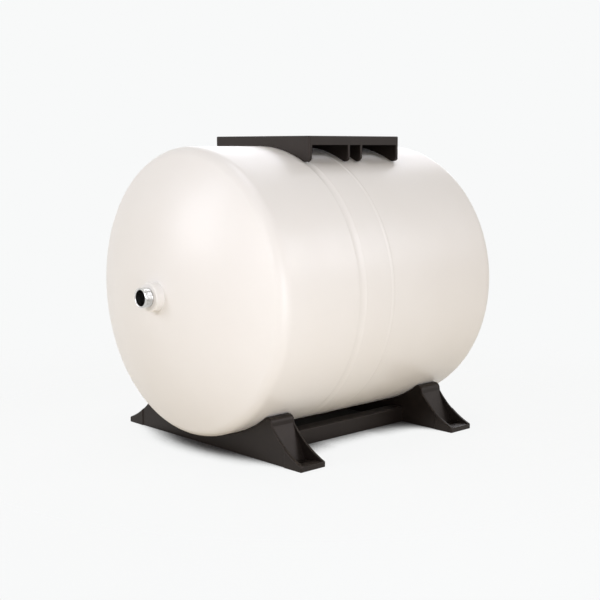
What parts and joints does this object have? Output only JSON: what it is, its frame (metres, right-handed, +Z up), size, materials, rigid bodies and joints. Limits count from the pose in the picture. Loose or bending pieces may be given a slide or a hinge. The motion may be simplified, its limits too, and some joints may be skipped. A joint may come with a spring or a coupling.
{
  "type": "diaphragm pressure tank",
  "caption": "Horizontal steel diaphragm pressure tank on a moulded stand, with a stainless water connection, an air valve and a slotted platform for a pump on its crown.",
  "frame": {"origin": "on the floor, below the middle of the tank and the centre of the stand", "axes": "+X along the tank towards the air valve, -X towards the water connection, +Z up"},
  "size_m": [0.5617, 0.391, 0.4235],
  "materials": {
    "white_paint": "gloss",
    "black_plastic": "satin",
    "stainless_steel": "turned",
    "zinc_steel": "zinc plated",
    "plain_steel": "rolled",
    "brass": "turned",
    "black_rubber": "matt",
    "liner_plastic": "satin"
  },
  "bodies": {
    "tank": {"front_shell": "white_paint", "rear_shell": "white_paint", "girth_weld": "white_paint", "clench_ring": "plain_steel", "diaphragm": "black_rubber", "water_liner": "liner_plastic", "connection_nipple": "stainless_steel", "connection_oring": "black_rubber", "connection_collar": "white_paint", "valve_boss": "white_paint", "valve_oring": "black_rubber", "valve_body": "brass", "valve_core": "brass", "valve_spring": "plain_steel", "base_stand": "black_plastic", "pump_platform": "black_plastic", "stand_studs": "zinc_steel", "stand_washers": "zinc_steel", "stand_nuts": "zinc_steel", "platform_studs": "zinc_steel", "platform_washers": "zinc_steel", "platform_nuts": "zinc_steel"},
    "valve_pin": {"valve_pin": "brass", "valve_seal": "black_rubber"},
    "valve_cap": {"valve_cap": "black_plastic", "valve_cap_seal": "black_rubber"}
  },
  "joints": [
    {"name": "pin_press", "type": "slide", "parent": "tank", "child": "valve_pin", "axis": [-1, 0, 0], "range_m": [0, 0.0012], "stiffness_N_per_m": 1500, "springref_m": -0.002, "deforming": ["valve_spring"]},
    {"name": "cap_lift", "type": "slide", "parent": "tank", "child": "valve_cap", "axis": [1, 0, 0], "range_m": [0, 0.03]}
  ]
}
